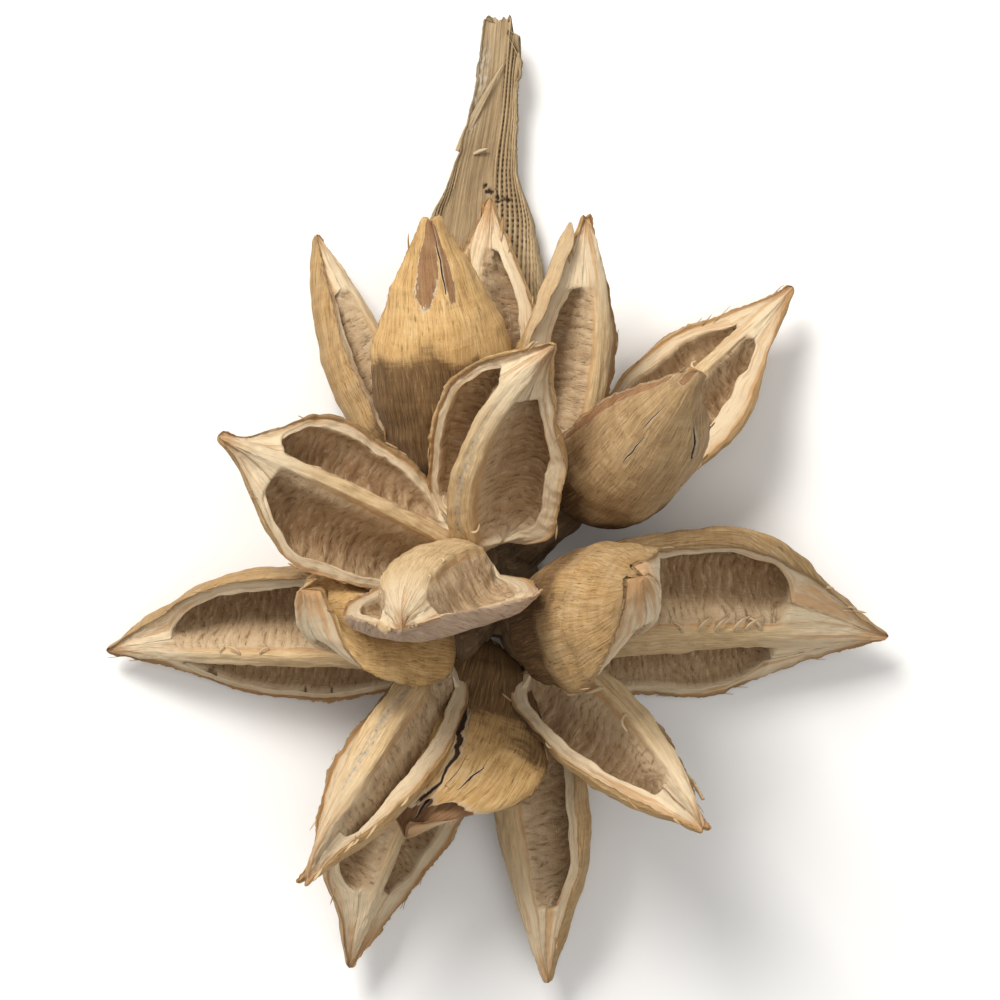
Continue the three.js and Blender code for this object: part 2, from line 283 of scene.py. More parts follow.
# Husk: weathered skin outside, pale cut rim, papery seed chambers and a straw-coloured keel
huskTones = {
    "skin": [(0.36, (0.26, 0.140, 0.050)), (0.49, (0.56, 0.345, 0.135)), (0.62, (0.78, 0.540, 0.265))],
    "worn": [(0.36, (0.17, 0.100, 0.044)), (0.50, (0.38, 0.245, 0.116)), (0.64, (0.58, 0.420, 0.235))],
    "mauve": [(0.36, (0.27, 0.165, 0.105)), (0.50, (0.50, 0.350, 0.245)), (0.64, (0.66, 0.500, 0.370))],
    # Dark tones for skin darkened towards the foot, partly real stains and partly painted shade, and for
    # the short dark dashes
    "stainedAndShaded": [(0.38, (0.06, 0.031, 0.012)), (0.54, (0.155, 0.085, 0.034)), (0.66, (0.33, 0.20, 0.085))],
    "peeled": [(0.38, (0.15, 0.068, 0.032)), (0.50, (0.29, 0.155, 0.070)), (0.64, (0.41, 0.250, 0.130))],
    "flakeEdge": (0.66, 0.56, 0.43, 1.0),
    "rim": [
        (0.00, (0.60, 0.44, 0.25)), (0.05, (0.40, 0.22, 0.090)), (0.13, (0.46, 0.275, 0.125)),
        (0.22, (0.58, 0.430, 0.265)), (0.45, (0.64, 0.510, 0.335)), (0.75, (0.66, 0.530, 0.355)),
        (1.00, (0.70, 0.565, 0.375)),
    ],
    "streak": (0.50, 0.265, 0.105, 1.0),
    "rimShade": (0.40, 0.275, 0.160, 1.0),
    # chamber: lining tones from the mouth to the depths; the dark end is partly real browning and partly
    # painted shade
    "chamber": [(0.00, (0.64, 0.480, 0.300)), (0.35, (0.50, 0.345, 0.195)), (1.00, (0.34, 0.205, 0.100))],
    # ridge: painted highlight on the crests of the chamber wrinkles
    "ridge": (0.70, 0.555, 0.375, 1.0),
    # wrinkle: painted shade in the furrows of the chamber wrinkles; also the dark dots in the keel's
    # groove
    "wrinkle": (0.105, 0.052, 0.020, 1.0),
    "keel": [(0.36, (0.36, 0.225, 0.100)), (0.50, (0.58, 0.410, 0.215)), (0.64, (0.74, 0.570, 0.350))],
    "groove": (0.30, 0.290, 0.255, 1.0),
    # Near-black painted shade inside the cracks
    "crackShade": (0.045, 0.024, 0.012, 1.0),
    "rough": 0.80, "shine": 0.25, "bump": 0.85,
}


def huskMaterial():
    material, tree, surface = shader("husk_finish")
    grain = attribute(tree, "grain")[0]
    _, rimPlace, hollow, keel, skin = attribute(tree, "zones")
    _, deep, stainAndShade, tone, tipward = attribute(tree, "marks")
    _, peel, crackSide, groove, phase = attribute(tree, "scars")

    def scaled(value, factor):
        return mathOf(tree, "MULTIPLY", value, factor)

    def added(*values):
        total = values[0]
        for value in values[1:]:
            total = mathOf(tree, "ADD", total, value)
        return total

    # Outer skin: fine fibres along the valve, cross ripples, blotches and short dark dashes
    fibre = noiseOf(tree, grain, (1.45, 0.085, 1.0), 6.0, 0.70, 0.35)
    thread = noiseOf(tree, grain, (3.2, 0.20, 1.0), 3.0, 0.65)
    blotch = noiseOf(tree, grain, (0.10, 0.07, 1.0), 5.0, 0.64, 0.6)
    ripple = noiseOf(tree, grain, (0.07, 0.40, 1.0), 5.0, 0.66, 0.9)
    dash = noiseOf(tree, grain, (1.7, 0.26, 1.0), 3.0, 0.55)
    lines = sumOf(tree, (fibre, 0.38), (thread, 0.24), (blotch, 0.24), (ripple, 0.14))
    wear = rangeOf(tree, added(tone, scaled(blotch, 0.9)), 0.55, 1.15)
    # Darker towards the valve's foot: partly real stains with drip marks, partly painted shade where the
    # valves crowd at the middle of the cluster
    dripsAndShade = added(stainAndShade, scaled(fibre, 0.7), scaled(added(blotch, ripple), 0.6))
    dark = rampOf(tree, sumOf(tree, (fibre, 0.6), (thread, 0.4)), huskTones["stainedAndShaded"])
    flaked = added(peel, scaled(noiseOf(tree, grain, (0.42, 0.20, 1.0), 6.0, 0.68, 0.5), 1.3))
    bare = rangeOf(tree, flaked, 1.10, 1.14)
    edge = rangeOf(tree, flaked, 0.98, 1.10, 0.0, 0.7)
    skinColour = coatsOf(
        tree, rampOf(tree, lines, huskTones["skin"]),
        (wear, rampOf(tree, lines, huskTones["worn"])),
        (rangeOf(tree, tone, 1.0, 1.4, 0.0, 0.85), rampOf(tree, lines, huskTones["mauve"])),
        (rangeOf(tree, dripsAndShade, 1.32, 1.66, 0.0, 0.94), dark),
        (rangeOf(tree, dash, 0.58, 0.70, 0.0, 0.6), dark),
        (edge, huskTones["flakeEdge"]),
        (bare, rampOf(tree, lines, huskTones["peeled"])),
    )

    # Cut rim and solid tip: bands from the outside in, with orange streaks towards the tip
    wander = noiseOf(tree, grain, (0.16, 0.16, 1.0), 3.0)
    fine = noiseOf(tree, grain, (2.2, 0.22, 1.0), 4.0, 0.65)
    streak = noiseOf(tree, grain, (0.62, 0.035, 1.0), 4.0, 0.6)
    browned = added(tipward, scaled(added(streak, wander), 0.16))
    pith = coatsOf(
        tree, rampOf(tree, added(rimPlace, scaled(added(wander, -0.5), 0.22)), huskTones["rim"]),
        (rangeOf(tree, added(streak, scaled(tipward, 0.12)), 0.58, 0.74, 0.0, 0.7), huskTones["streak"]),
        (rangeOf(tree, fine, 0.50, 0.72, 0.0, 0.55), huskTones["rimShade"]),
        (rangeOf(tree, browned, 1.02, 1.16, 0.0, 0.7), huskTones["streak"]),
    )

    # Seed chambers: papery lining with curved cross wrinkles, darker as it gets deeper, partly real
    # browning and partly painted shade in the hollow
    wrinkle = noiseOf(tree, grain, (0.16, 0.55, 1.0), 5.0, 0.65, 0.6)
    crinkle = noiseOf(tree, grain, (0.45, 1.70, 1.0), 4.0, 0.65, 0.8)
    mottle = noiseOf(tree, grain, (0.16, 0.2, 1.0), 4.0, 0.6)
    turn = scaled(added(phase, scaled(wrinkle, 1.3), scaled(crinkle, 0.35)), 2 * math.pi)
    wave = mathOf(tree, "SINE", turn, 0.0)
    folds = added(scaled(wave, 0.16), scaled(added(wrinkle, crinkle, -1.0), 1.4))
    lining = coatsOf(
        tree, rampOf(tree, added(deep, scaled(added(mottle, -0.5), 0.9)), huskTones["chamber"]),
        # painted highlight on the wrinkle crests
        (rangeOf(tree, folds, -0.45, 0.0, 0.45, 0.0), huskTones["ridge"]),
        # painted shade in the wrinkle furrows
        (rangeOf(tree, folds, 0.08, 0.46, 0.0, 0.62), huskTones["wrinkle"]),
    )

    # Keel: straw fibres, with a greyish dotted groove down the middle
    straw = sumOf(tree, (fibre, 0.45), (fine, 0.35), (blotch, 0.2))
    dots = noiseOf(tree, grain, (0.9, 0.55, 1.0), 2.0)
    keelColour = coatsOf(
        tree, rampOf(tree, straw, huskTones["keel"]),
        (scaled(groove, rangeOf(tree, dots, 0.40, 0.60, 0.10, 0.75)), huskTones["groove"]),
        (scaled(groove, rangeOf(tree, dots, 0.60, 0.70, 0.0, 0.6)), huskTones["wrinkle"]),
    )

    # Orange fringe where the lining meets the keel, and cracks with pale lips and a near-black line of
    # painted shade inside the split
    fringe = scaled(scaled(keel, hollow), rangeOf(tree, fine, 0.35, 0.6, 1.0, 3.2))
    beside = mathOf(tree, "ABSOLUTE", added(crackSide, scaled(added(fine, -0.5), 1.2)), 0.0)
    torn = scaled(skin, groove)
    lip = scaled(torn, rangeOf(tree, beside, 1.2, 2.2, 0.45, 0.0))
    gash = scaled(rangeOf(tree, torn, 0.3, 0.7), rangeOf(tree, beside, 0.55, 0.95, 1.0, 0.0))
    colour = coatsOf(
        tree, pith, (hollow, lining), (keel, keelColour), (skin, skinColour),
        (rangeOf(tree, fringe, 0.0, 0.8, 0.0, 0.75), huskTones["streak"]),
        (lip, huskTones["flakeEdge"]), (gash, huskTones["crackShade"]),
    )

    # Fine relief that is too small for the mesh
    ribs = scaled(added(fibre, scaled(thread, 0.7)), 0.5)
    cross = scaled(scaled(ripple, 0.25), skin)
    creases = scaled(folds, scaled(hollow, -0.42))
    relief = added(ribs, cross, creases, scaled(bare, -0.25), scaled(edge, 0.15), scaled(gash, -0.8))
    dress(tree, surface, huskTones, colour, relief)
    return material


husk = huskMaterial()
print("stage 2: husk material ready")

# What all the valves share
valveForm = {
    "wall": 4.0, "wallLeast": 1.8, "arc": math.radians(80), "axisGap": 6.5, "tipDepth": 2.2,
    "footRound": 0.13, "keelRise": 0.4, "keelThin": 0.5, "tipRound": 0.03,
    "footEnd": 0.25, "footDepth": 0.6, "rimLeast": 0.60, "keelFoot": 6.0,
    "depthFullness": 0.85, "chamberRound": 7.5, "chamberFloor": 0.62,
    "ringStep": 0.62, "skinColumns": 44, "chamberColumns": 28, "keelSideColumns": 6, "keelColumns": 13,
    "rimStops": (0.05, 0.11, 0.18, 0.28, 0.40, 0.54, 0.68, 0.82, 0.93, 1.0),
    "rimRelief": (0.80, -0.10, -0.35, -0.02, 0.10, 0.02, -0.10, -0.05, 0.10, 0.0),
    "footShrink": (0.12, 0.45, 0.75, 0.93), "footPush": 1.4,
    "tipShrink": (0.85, 0.5, 0.12), "tipPush": 0.3,
}
valveRelief = {  # heights of the small shapes
    "dent": 0.8, "fibre": 0.16, "ripple": 0.10, "ridge": 0.8, "crease": 0.20, "crumple": 0.22,
    "swell": 0.45, "keelFibre": 0.20, "keelLump": 0.35, "rim": 0.22, "peel": 0.25, "rimWave": 0.8,
    "outline": 0.6, "crackLip": 0.35, "crackDepth": 0.7,
}
# What a valve has unless its pod says otherwise. Sides run from -1 at the left rim to 1 at the right.
# Peels: side, share of length and half sizes. Cracks: two ends and a width.
# Threads: share, edge and reach. Sheets: sides, shares, rise and slant.
# Slivers: side, shares, rise and half width.
valveDefaults = {
    "left": 19, "right": 19, "depth": 14, "keel": 9, "roll": 0, "bow": 0, "sway": 0,
    "curl": 0, "curlStart": 0.55, "turnOut": 0, "turnFrom": 0.45, "fold": 0, "split": 0.0,
    "widest": 0.42, "beak": 1.25, "foot": 0.6, "tipWidth": 1.8, "ragged": 0.9, "rims": (5.2, 5.2),
    "chamberStart": 0.06, "chamberEnd": 0.77, "bays": 6.6,
    # The staining share and its fade darken the skin from the foot up, partly real stains and partly
    # painted shade
    "keelWide": 5.0, "keelFlare": 0.5, "groove": 0.15, "tone": 0.35, "stainAndShade": 0.25, "fade": 0.3,
    "cracks": (), "peels": (), "threads": (), "sheets": (), "slivers": (),
}
# Zones, marks and scars of the loose bits
threadFinish = ((0.9, 0, 0.6, 0), (0, 0, 0.3, 0.3), (0, 9, 0, 0))
stripFinish = ((0.35, 0, 0, 0.6), (0, 0.1, 0.5, 0.6), (0, 0, 0, 0))
flakeFinish = ((0.03, 0, 0, 0), (0, 0, 0.3, 0.3), (0, 0, 0, 0))


def taper(s, foot, widest, beak):
    rising = foot + (1 - foot) * np.sin(np.pi / 2 * np.clip(s / widest, 0, 1))
    falling = np.cos(np.pi / 2 * np.clip((s - widest) / (1 - widest), 0, 1)) ** beak
    body = np.where(s < widest, rising, falling)
    return body * blend(valveForm["footEnd"], 1, roundedRise(s / valveForm["footRound"]))


# Outer wall behind the rim plane, at a distance across from the middle
def wallDrop(across, half, depth):
    arc = valveForm["arc"]
    angle = np.arcsin(np.clip(across / half, 0, 1) * math.sin(arc))
    return depth * (np.cos(angle) - math.cos(arc)) / (1 - math.cos(arc))


# Half of every section from the rim's outer corner to the keel's edge
def hollowHalf(s, half, depth, keel, keelHalf, rimWidth, spec, seed, length):
    form = valveForm
    opening = roundedRise((spec["chamberEnd"] - s) * length / form["chamberRound"])
    opening = opening * roundedRise((s - spec["chamberStart"]) * length / form["chamberRound"])
    rimIn = np.maximum(half * form["rimLeast"], half - rimWidth)
    rimIn = rimIn + 0.14 * rimWidth * layered(s * length / 9, s * 0 + 3.1, seed + 1, 2) * opening
    keelSide = np.minimum(keelHalf, rimIn * 0.6)
    span = rimIn - keelSide
    outer = keelSide + span * (0.5 + 0.5 * opening)
    inner = keelSide + span * np.maximum(0.12, 0.5 - 0.5 * opening)
    deep = np.maximum(0, depth - form["wall"]) * opening**0.6
    steep = 1 + 5 * opening

    def slope(across):
        return keel * np.clip((rimIn - across) / span, 0, 1) ** steep

    ragged = spec["ragged"] * (0.35 + 0.65 * np.abs(layered(s * length / 1.7, s * 0 + 8.3, seed + 2, 3)))
    ragged = ragged * smooth(s, 0.02, 0.12)

    # Cut rim
    stops = np.array(form["rimStops"])[None, :]
    rise = np.array(form["rimRelief"])[None, :]
    rimX = half + (outer - half) * stops
    rimY = np.where(rise > 0.5, ragged * 0.8, rise * smooth(half, 2, 8)) + slope(rimX)
    rimPlace = (half - rimX) / np.maximum(half - rimIn, 0.5)

    # Seed chamber, then the flank of the keel
    q = (np.arange(form["chamberColumns"]) + 0.7) / (form["chamberColumns"] + 0.4)
    q = q[None, :]
    chamberX = outer + (inner - outer) * (1 - np.cos(np.pi * q)) / 2
    room = wallDrop(chamberX, half, depth) - form["wallLeast"]
    drop = np.minimum(deep * np.sin(np.pi * q) ** form["chamberFloor"], np.maximum(0, room))
    chamberY = slope(chamberX) - drop

    t = (np.arange(form["keelSideColumns"]) + 0.5)[None, :] / form["keelSideColumns"]
    sideX = inner + (keelSide - inner) * t
    sideY = slope(sideX)

    lined = smooth(drop + 3.0 * opening * q**2, 0.3, 2.0)
    upFlank = smooth(t, 0.5, 0.95)
    onRim, onFloor, onFlank = 0 * rimX, 0 * chamberX, 0 * sideX
    joined = {
        "x": np.hstack([rimX, chamberX, sideX]),
        "y": np.hstack([rimY, chamberY, sideY]),
        "rim": np.hstack([np.clip(rimPlace, 0, 1.2), onFloor + 1.2, onFlank + 1.2]),
        "hollow": np.hstack([onRim, lined, smooth(opening, 0.1, 0.6) * (1 - upFlank)]),
        "keel": np.hstack([onRim, onFloor, (1 - smooth(s, 0.5, 0.86)) * upFlank]),
        # deep darkens the lining further down the chamber and low on the keel's flank, partly real
        # browning and partly painted shade
        "deep": np.hstack([onRim, np.clip(drop / 10, 0, 1), onFlank + 0.3 * (1 - t)]),
        "share": np.hstack([onRim, onFloor + q, onFlank + 1]),
    }
    joined["opening"] = opening + 0 * joined["x"]
    joined["ragged"] = ragged
    return joined


def valvePatches(base, axis, spec, seed):
    form = valveForm
    relief = valveRelief
    base = np.array(base, float)
    tip = np.array(spec["tip"], float)
    along = unit(tip - base)
    hollow = unit(axis - along * axis.dot(along))
    hollow = turned(hollow, along, spec["roll"])
    across = np.cross(along, hollow)
    foot = base + unit(along - axis * along.dot(axis)) * form["axisGap"]
    length = np.linalg.norm(tip - foot)
    count = int(length / form["ringStep"])
    even01 = np.linspace(0, 1, count)
    s = (even01 - 0.4 * np.sin(2 * np.pi * even01) / (2 * np.pi))[:, None]

    # Middle line of the valve, and its directions ring by ring
    bend = hollow * spec["bow"] + across * spec["sway"]
    straightTip = tip + hollow * spec["curl"]
    rolled = np.maximum(0, s - spec["curlStart"]) / (1 - spec["curlStart"])
    centre = foot + (straightTip - foot) * s + bend * 4 * s * (1 - s) - hollow * spec["curl"] * rolled**2
    curling = hollow * 2 * spec["curl"] * rolled / (1 - spec["curlStart"])
    run = unit(straightTip - foot + bend * 4 * (1 - 2 * s) - curling)
    inward = unit(hollow - run * (run @ hollow)[:, None])
    sideways = np.cross(run, inward)

    tipEnd = roundedRise((1 - s) / form["tipRound"])
    width = taper(s, spec["foot"], spec["widest"], spec["beak"])
    depth = spec["depth"] * taper(s, form["footDepth"], spec["widest"], form["depthFullness"])
    depth = np.hypot(depth, form["tipDepth"] * s**2) * blend(0.3, 1, tipEnd)
    keelFoot = min(form["keelFoot"], spec["keel"])
    keel = blend(keelFoot, spec["keel"], roundedRise(s / form["keelRise"])) * (1 - s**3)
    keelHalf = spec["keelWide"] / 2 * blend(0.35, 1, roundedRise((1 - s) / form["keelThin"]))
    keelHalf = keelHalf * (1 + spec["keelFlare"] * np.maximum(0, 1 - s / 0.6) ** 1.5)
    wobble = smooth(s, 0.05, 0.25) * (1 - smooth(s, 0.9, 1))

    def halfWidth(side, waveSeed):
        half = np.hypot(spec[side] * width, spec["tipWidth"] * s**2) * blend(0.25, 1, tipEnd)
        return half + relief["outline"] * wobble * layered(s * length / 11, s * 0, waveSeed, 3)

    right = halfWidth("right", seed + 21)
    left = halfWidth("left", seed + 22)
    leftHalf = hollowHalf(s, left, depth, keel, keelHalf, spec["rims"][0], spec, seed + 100, length)
    rightHalf = hollowHalf(s, right, depth, keel, keelHalf, spec["rims"][1], spec, seed + 200, length)

    # Outer wall from the right rim round to the left one
    e = np.linspace(1, -1, form["skinColumns"])[None, :]
    angle = e * form["arc"]
    side = np.where(e > 0, right, left) * np.sin(angle) / math.sin(form["arc"])
    drop = (np.cos(angle) - math.cos(form["arc"])) / (1 - math.cos(form["arc"]))
    lipRight = rightHalf["ragged"] * smooth(e, 0.88, 1.0)
    lipLeft = leftHalf["ragged"] * smooth(-e, 0.88, 1.0)
    folded = spec["fold"] * bell(e + 0.80, 0.16)
    folded = folded * smooth(s, 0.05, 0.2) * (1 - smooth(s, 0.55, 0.9))
    wallX = side + 0.45 * (lipRight - lipLeft) - folded
    wallY = -depth * drop + 0.75 * (lipRight + lipLeft) + 0.35 * folded
    zero = 0 * wallX

    # Keel's free edge from left to right, with a shallow groove
    k = np.linspace(-1, 1, form["keelColumns"])[None, :]
    keelSide = np.minimum(keelHalf, np.where(k > 0, right, left) * 0.36)
    keelX = keelSide * k
    crown = 0.14 * spec["keelWide"] * (1 - k**2)
    crown = crown - 0.9 * spec["groove"] * bell(k, 0.24) * smooth(1 - s, 0.05, 0.3)
    keelY = keel + crown * smooth(keelHalf, 0.8, 2.4)
    keelZero = 0 * keelX

    def ring(key, wall, edge):
        return np.hstack([wall, leftHalf[key], edge, rightHalf[key][:, ::-1]])

    x = np.hstack([wallX, -leftHalf["x"], keelX, rightHalf["x"][:, ::-1]])
    y = ring("y", wallY, keelY)
    rim = ring("rim", zero, keelZero + 1.2)
    hollowMask = ring("hollow", zero, keelZero)
    keelMask = ring("keel", zero, keelZero + 1 - smooth(s, 0.5, 0.86))
    deep = ring("deep", zero, keelZero)
    share = ring("share", zero, keelZero)
    opening = ring("opening", zero, keelZero)
    skin = np.hstack([zero + 1, 0 * leftHalf["x"], keelZero, 0 * rightHalf["x"]])
    groove = np.hstack([zero, 0 * leftHalf["x"], keelZero + bell(k, 0.3), 0 * rightHalf["x"]])

    # Wavy rims, and margins that turn outwards near a rolled tip
    sideShare = np.where(x > 0, x / np.maximum(right, 1), -x / np.maximum(left, 1))
    waveSeed = np.where(x > 0, 0.0, 7.7)
    wave = layered(s * length / 15 + waveSeed, s * 0 + waveSeed, seed + 23, 3)
    y = y + relief["rimWave"] * wave * wobble * smooth(sideShare, 0.5, 1.0)
    turning = smooth(s, spec["turnFrom"], spec["turnFrom"] + 0.5)
    y = y - spec["turnOut"] * turning * np.clip(sideShare, 0, 1.1) ** 2
    points = centre[:, None, :] + x[..., None] * sideways[:, None, :] + y[..., None] * inward[:, None, :]

    # Grain: distance round the section, and along the valve
    around = runAlong(points[int(count * 0.45)])
    wallArc = around[form["skinColumns"] - 1] / 2
    squeeze = blend(0.35, 1, width / width.max())
    u = np.where(skin > 0, wallArc + (around[None, :] - wallArc) * squeeze, around[None, :])
    v = np.broadcast_to(s * length, x.shape)

    # Relief: wrinkles and seed prints in the chambers, dents outside, fibres on keel and rim
    dent = relief["dent"] * layered(u / 14, v / 17, seed + 31)
    dent = dent + relief["fibre"] * layered(u / 2.0, v / 10, seed + 32, 2)
    dent = dent + relief["ripple"] * layered(u / 10, v / 2.6, seed + 30, 2)
    bay = spec["bays"] * (s - spec["chamberStart"]) / (spec["chamberEnd"] - spec["chamberStart"])
    bay = bay + 0.32 * np.sin(np.pi * share) + 0.30 * layered(u / 9, v / 9, seed + 33, 2)
    ridge = bell(bay - np.floor(bay) - 0.5, 0.16) * np.sin(np.pi * np.clip(share, 0, 1)) ** 0.7
    phase = v / 2.7 + 0.9 * np.sin(np.pi * share) + 1.1 * layered(u / 12, v / 11, seed + 34, 3)
    crease = np.abs(np.sin(np.pi * phase)) ** 0.7 - 0.6
    crease = crease * np.clip(0.8 + 0.7 * layered(u / 9, v / 7, seed + 35, 2), 0.2, 1.3)
    crumple = layered(u / 5, v / 1.7, seed + 45, 2)
    chamberRelief = relief["ridge"] * ridge * opening + relief["crease"] * crease
    chamberRelief = chamberRelief + relief["crumple"] * crumple
    chamberRelief = chamberRelief + relief["swell"] * layered(u / 6, v / 6, seed + 36, 2)
    keelRelief = relief["keelFibre"] * speckle(u / 0.9, v / 8, seed + 37)
    keelRelief = keelRelief + relief["keelLump"] * layered(u / 3, v / 6, seed + 38, 3)
    rimRelief = relief["rim"] * layered(u / 1.6, v / 2.8, seed + 39, 3)
    height = skin * dent * wobble + hollowMask * chamberRelief + keelMask * keelRelief
    height = height + (1 - skin) * (1 - hollowMask) * (1 - keelMask) * rimRelief

    # Stains darkening the skin towards the foot, partly real and partly painted shade where the valves
    # crowd together; peeled patches and cracks, placed on the outer wall by (side, share of length)
    farOff = 9
    eAll = np.full_like(u, farOff)
    eAll[:, :form["skinColumns"]] = e
    edgeAt = s + 0.05 * speckle(u / 5, v * 0, seed + 41) + 0.12 * layered(u / 16, v / 16, seed + 43, 2)
    stainAndShade = skin * (1 - smooth(edgeAt, spec["stainAndShade"] - spec["fade"], spec["stainAndShade"] + spec["fade"]))
    peel = np.zeros_like(u)
    for pe, ps, pu, pv in spec["peels"]:
        away = np.hypot((eAll - pe) * wallArc / pu, (s - ps) * length / pv)
        peel = np.maximum(peel, 1 - smooth(away, 0.35, 1.25))
    crackSide = np.full_like(u, farOff)
    crackReach = np.zeros_like(u)
    for e0, s0, e1, s1, wide in spec["cracks"]:
        start = np.array([e0 * wallArc, s0 * length])
        step = np.array([e1 * wallArc, s1 * length]) - start
        heading = step / np.linalg.norm(step)
        du = eAll * wallArc - start[0]
        dv = s * length - start[1]
        place = (du * heading[0] + dv * heading[1]) / np.linalg.norm(step)
        away = du * heading[1] - dv * heading[0] + 0.6 * layered(v / 4, v * 0, seed + 42, 2)
        reach = smooth(place, -0.04, 0.06) * (1 - smooth(place, 0.94, 1.04))
        reach = reach * (1 - smooth(np.abs(away), 2.5, 4.2))
        nearer = reach > crackReach
        thin = wide * (0.35 + 0.65 * np.sin(np.pi * np.clip(place, 0.06, 0.94)))
        crackSide = np.where(nearer, away / thin, crackSide)
        crackReach = np.maximum(crackReach, reach)
        lips = relief["crackLip"] * bell(np.abs(away) - 1.6, 0.9)
        height = height + reach * wide * (lips - relief["crackDepth"] * bell(away, 0.9))
    height = height - relief["peel"] * peel

    facing = outward(points)
    points = points + facing * height[..., None]
    pull = spec["split"] * smooth(s, 0.88, 1) * bell(x, 0.9)
    points = points - run[:, None, :] * pull[..., None]

    grain = np.stack([u, v, np.full_like(u, seed * 0.37)], axis=-1)
    zones = np.stack([np.clip(rim, 0, 1), hollowMask, keelMask, skin], axis=-1)
    marks = np.stack([deep, stainAndShade, np.full_like(u, spec["tone"]), np.broadcast_to(s, u.shape)], axis=-1)
    scars = np.stack([peel, crackSide, groove * min(1, spec["groove"] * 1.3) + crackReach, phase], axis=-1)

    # Rounded ends: rings that shrink towards the middle of the first and the last one
    def ended(values):
        footRings = np.repeat(values[:1], len(form["footShrink"]), axis=0)
        tipRings = np.repeat(values[-1:], len(form["tipShrink"]), axis=0)
        return np.concatenate([footRings, values, tipRings])

    def shrunk(ring, shares, push):
        middle = ring.mean(0)
        return np.array([middle + (ring - middle) * part + push * (1 - part) for part in shares])

    closed = ended(points)
    closed[:len(form["footShrink"])] = shrunk(points[0], form["footShrink"], -run[0] * form["footPush"])
    closed[-len(form["tipShrink"]):] = shrunk(points[-1], form["tipShrink"], run[-1] * form["tipPush"])
    made = [patch(closed, ended(grain), ended(zones), ended(marks), ended(scars))]

    # Dried seed threads hooked over the keel's edge
    rng = np.random.default_rng(seed + 51)
    keelFirst = form["skinColumns"] + leftHalf["x"].shape[1]
    for place, edgeSide, reach in spec["threads"]:
        row = int(np.argmin(np.abs(s[:, 0] - place)))
        column = keelFirst + (1 if edgeSide < 0 else form["keelColumns"] - 2)
        root = points[row, column] - 0.5 * inward[row]
        t = np.linspace(0, 1, 14)[:, None]
        outSide = sideways[row] * edgeSide
        lean = run[row] * rng.uniform(-0.4, 0.5)
        curl = rng.uniform(0.5, 1.3) * (1 if rng.random() < 0.7 else -1)
        path = root + outSide * reach * np.sin(1.9 * t) + (lean + run[row] * curl * t) * reach * t
        path = path + inward[row] * reach * (0.5 * t - 0.9 * t**2)
        thick = (0.34 + 0.09 * reach) * (1 - 0.6 * t[:, 0])
        made.append(strand(path, thick, thick * 0.8, inward[row], threadFinish, seed))

    # Sheets of outer skin that come off the wall, sunk into it on three sides and ragged at the free edge
    def onWall(e, share):
        row = np.interp(share, s[:, 0], np.arange(count))
        column = (1 - e) / 2 * (form["skinColumns"] - 1)
        i = np.clip(row.astype(int), 0, count - 2)
        j = np.clip(column.astype(int), 0, form["skinColumns"] - 2)
        fi = (row - i)[..., None]
        fj = (column - j)[..., None]

        def between(values):
            low = blend(values[i, j], values[i, j + 1], fj)
            return blend(low, blend(values[i + 1, j], values[i + 1, j + 1], fj), fi)

        return between(points), unit(between(facing)), between(grain), between(marks), between(scars)

    for eFrom, eTo, sFrom, sTo, rise, slant in spec["sheets"]:
        eSheet = np.linspace(eFrom, eTo, 110)[:, None]
        place = np.linspace(0, 1, 90)[None, :]
        ragged = 0.022 * layered(eSheet * 7, eSheet * 0, seed + 61, 5) - slant * eSheet
        spot = onWall(eSheet + 0 * place, sFrom + (sTo + ragged - sFrom) * place)
        wallPoint, out, sheetGrain, sheetMarks, sheetScars = spot
        sides = smooth(eSheet, eFrom, eFrom + 0.07) * (1 - smooth(eSheet, eTo - 0.07, eTo))
        up = -0.9 + 1.3 * smooth(place, 0.0, 0.10) * sides
        waves = np.maximum(0.3, 1 + 0.7 * layered(eSheet * 4, place * 1.5, seed + 62, 3))
        up = up + rise * sides * place**2.6 * waves
        outside = wallPoint + out * up[..., None]
        inside = outside - out * (0.75 - 0.5 * place**3)[..., None]
        loop = np.concatenate([outside, inside[:, ::-1]], axis=1)
        ones = np.ones(outside.shape[:2])
        skinShare = np.concatenate([1 - smooth(place, 0.965, 1.0) * ones, 0 * ones], axis=1)
        pale = np.concatenate([0.6 * ones, 0.4 * ones], axis=1)
        sheetScars[..., 0] = 0
        loopGrain, loopMarks, loopScars = [np.concatenate([value, value[:, ::-1]], axis=1)
                                           for value in (sheetGrain, sheetMarks, sheetScars)]
        zero = 0 * skinShare
        loopZones = np.stack([pale, zero, zero, skinShare], axis=-1)
        made.append(patch(loop, loopGrain, loopZones, loopMarks, loopScars))

    # Strips of skin split off a margin and held at the lower end
    for eSliver, sFrom, sTo, rise, stripHalf in spec["slivers"]:
        t = np.linspace(0, 1, 40)
        root, out, _, _, _ = onWall(eSliver + 0 * t, sFrom + (sTo - sFrom) * t)
        rows = np.interp(sFrom + (sTo - sFrom) * t, s[:, 0], np.arange(count)).astype(int)
        away = sideways[rows] * np.sign(eSliver)
        path = root + away * (rise * t**1.5)[:, None] - out * (0.4 * (1 - t))[:, None]
        uneven = 1 + 0.25 * speckle(t * 9, t * 0, seed + 71)
        wide = stripHalf * (0.35 + 0.65 * smooth(t, 0, 0.6)) * uneven
        wide = wide * np.sqrt(np.maximum(0.05, 1 - np.maximum(0, t - 0.85) / 0.16))
        upward = out.mean(0) + 0.4 * inward[rows[0]]
        made.append(strand(path, wide, 0.45 + 0 * wide, upward, stripFinish, seed, 12))

